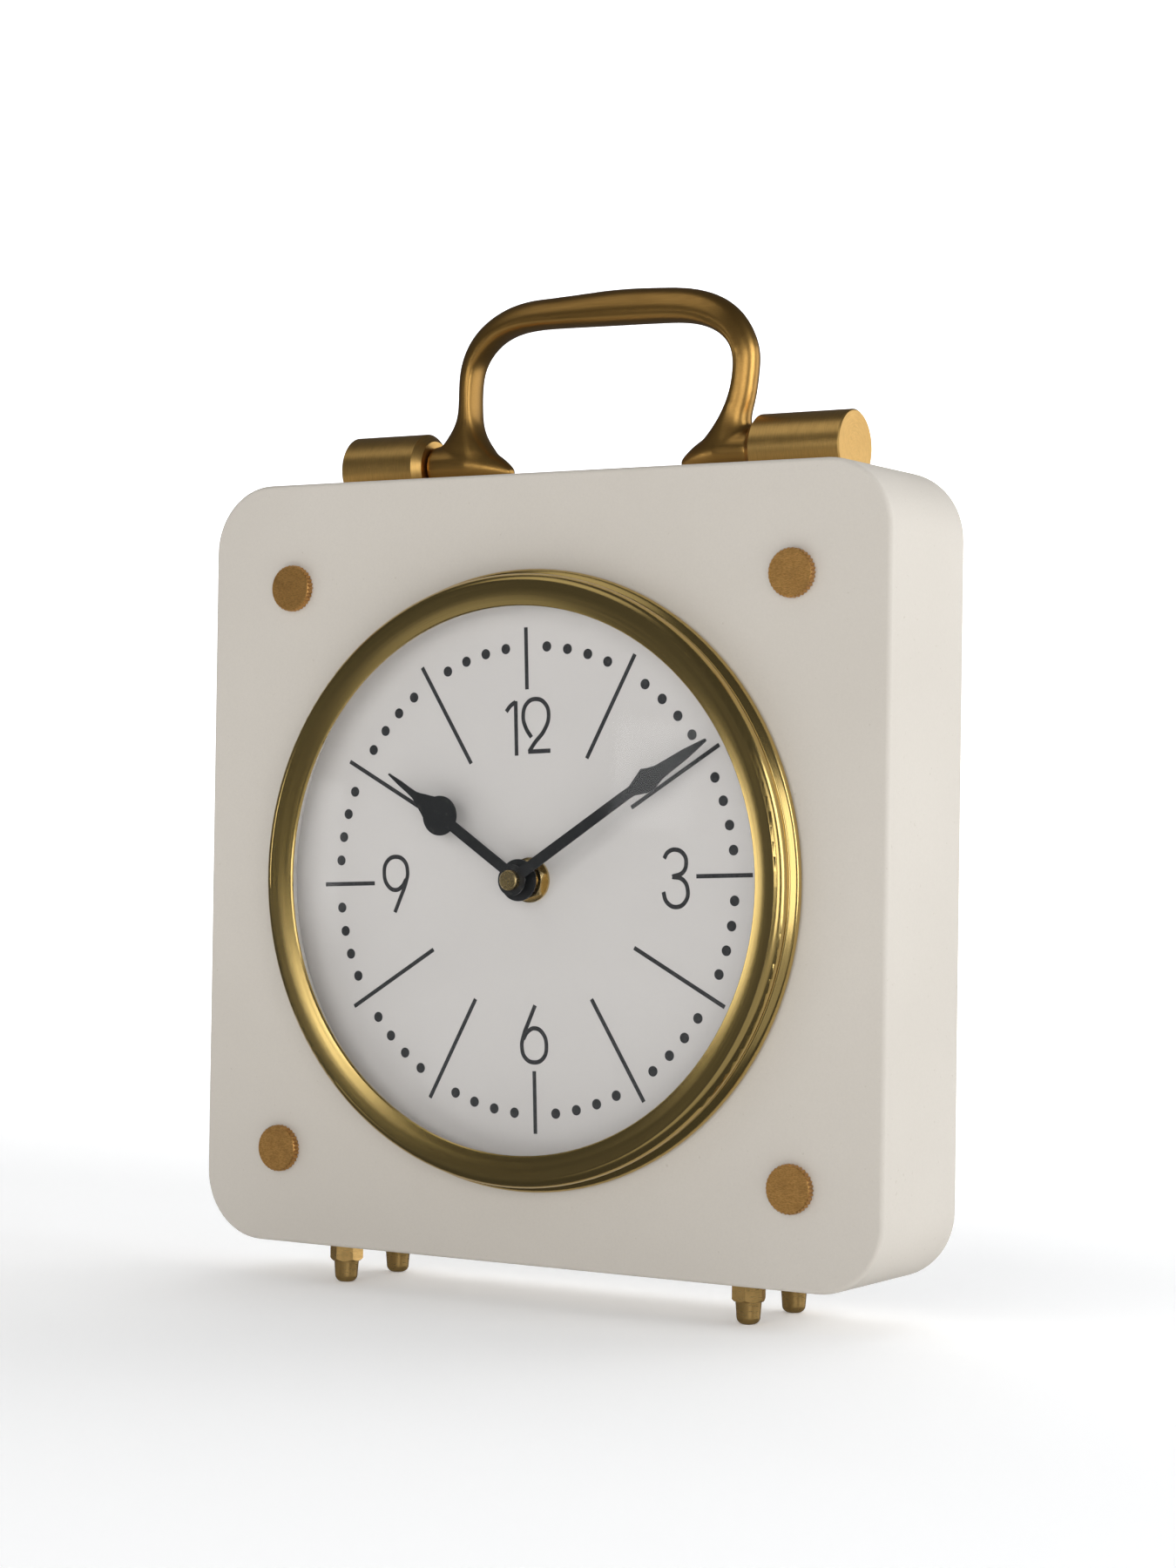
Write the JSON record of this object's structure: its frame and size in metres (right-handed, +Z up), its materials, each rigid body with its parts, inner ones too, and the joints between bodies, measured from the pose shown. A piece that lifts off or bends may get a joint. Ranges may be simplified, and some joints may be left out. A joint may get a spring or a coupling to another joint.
{
  "type": "carriage clock",
  "caption": "Square carriage clock with a round domed-glass dial in a spun metal bezel, a hinged top handle, small acorn feet and a battery movement behind the dial.",
  "frame": {"origin": "on the surface the clock stands on, midway across its width and midway between the foremost point of the glass and the back of the case", "axes": "+Z up, +X to the right of someone facing the dial, +Y from the dial towards the back"},
  "size_m": [0.23, 0.0608, 0.2972],
  "materials": {
    "case_paint": "fine-grained off-white sprayed finish over fibreboard",
    "black_board": "matt black board",
    "steel_screws": "zinc-plated steel",
    "bronze_gold": "brushed bronze-gold lacquer",
    "handle_gold": "softly polished golden-brown casting",
    "polished_gold": "spun and polished pale gold",
    "plain_brass": "turned brass",
    "clear_glass": "clear domed glass",
    "black_plastic": "moulded black plastic",
    "dial_print": "warm light grey with thin black print",
    "black_hands": "satin black",
    "black_rubber": "soft rubber",
    "copper_wire": "enamelled copper wire",
    "board_green": "green circuit board",
    "battery_wrap": "plain dark battery sleeve",
    "white_plastic": "white gear plastic",
    "dark_magnet": "dark sintered magnet"
  },
  "bodies": {
    "clock": {"case_body": "case_paint", "back_panel": "black_board", "back_panel_screws": "steel_screws", "knurled_screws": "bronze_gold", "threaded_inserts": "plain_brass", "acorn_feet": "polished_gold", "foot_studs": "steel_screws", "bezel": "polished_gold", "glass_lens": "clear_glass", "lens_retainer": "white_plastic", "dial_plate": "dial_print", "left_socket": "bronze_gold", "right_socket": "bronze_gold", "hinge_pins": "steel_screws", "socket_screws": "steel_screws", "shaft_washer": "plain_brass", "shaft_nut": "plain_brass", "shaft_bush": "plain_brass", "dial_gasket": "black_rubber", "movement_front_shell": "black_plastic", "movement_cover": "black_plastic", "movement_screws": "steel_screws", "stator": "steel_screws", "coil_bobbin": "black_plastic", "coil_winding": "copper_wire", "circuit_board": "board_green", "chip_cover": "black_plastic", "crystal_can": "steel_screws", "battery_contacts": "steel_screws", "battery": "battery_wrap"},
    "handle": {"handle": "handle_gold"},
    "minute": {"minute_hand": "black_hands", "cap_nut": "plain_brass", "minute_arbor": "plain_brass"},
    "hour": {"hour_hand": "black_hands", "hour_wheel": "white_plastic"},
    "minute_wheel": {"minute_wheel": "white_plastic"},
    "setting": {"setting_arbor": "white_plastic", "setting_knob": "black_plastic"},
    "centre": {"centre_wheel": "white_plastic"},
    "third": {"third_wheel": "white_plastic"},
    "seconds": {"seconds_wheel": "white_plastic"},
    "intermediate": {"intermediate_wheel": "white_plastic"},
    "rotor": {"rotor_arbor": "white_plastic", "rotor_magnet": "dark_magnet"}
  },
  "joints": [
    {"name": "handle_hinge", "type": "hinge", "parent": "clock", "child": "handle", "pos_m": [0, 0.01885, 0.2469], "axis": [1, 0, 0], "range_deg": [-90, 90]},
    {"name": "minute_spin", "type": "hinge", "parent": "clock", "child": "minute", "pos_m": [0, 0, 0.1223], "axis": [0, 1, 0], "continuous": true},
    {"name": "hour_spin", "type": "hinge", "parent": "clock", "child": "hour", "pos_m": [0, 0, 0.1223], "axis": [0, 1, 0], "continuous": true},
    {"name": "minute_wheel_spin", "type": "hinge", "parent": "clock", "child": "minute_wheel", "pos_m": [0, 0, 0.13074], "axis": [0, 1, 0], "continuous": true},
    {"name": "setting_spin", "type": "hinge", "parent": "clock", "child": "setting", "pos_m": [0, 0, 0.13918], "axis": [0, 1, 0], "continuous": true},
    {"name": "seconds_spin", "type": "hinge", "parent": "clock", "child": "seconds", "pos_m": [-0.01555, 0, 0.13187], "axis": [0, 1, 0], "continuous": true},
    {"name": "centre_spin", "type": "hinge", "parent": "clock", "child": "centre", "pos_m": [0, 0, 0.1223], "axis": [0, 1, 0], "continuous": true},
    {"name": "third_spin", "type": "hinge", "parent": "clock", "child": "third", "pos_m": [-0.01103, 0, 0.12465], "axis": [0, 1, 0], "continuous": true},
    {"name": "intermediate_spin", "type": "hinge", "parent": "clock", "child": "intermediate", "pos_m": [-0.01254, 0, 0.13709], "axis": [0, 1, 0], "continuous": true},
    {"name": "rotor_spin", "type": "hinge", "parent": "clock", "child": "rotor", "pos_m": [-0.00719, 0, 0.13883], "axis": [0, 1, 0], "continuous": true}
  ],
  "couplings": [
    {"joint": "hour_spin", "follows": "minute_spin", "ratio": 0.083333},
    {"joint": "minute_wheel_spin", "follows": "minute_spin", "ratio": -0.33333},
    {"joint": "setting_spin", "follows": "minute_spin", "ratio": 1},
    {"joint": "centre_spin", "follows": "seconds_spin", "ratio": 0.016667},
    {"joint": "third_spin", "follows": "seconds_spin", "ratio": -0.13333},
    {"joint": "intermediate_spin", "follows": "seconds_spin", "ratio": -5},
    {"joint": "rotor_spin", "follows": "seconds_spin", "ratio": 30}
  ]
}
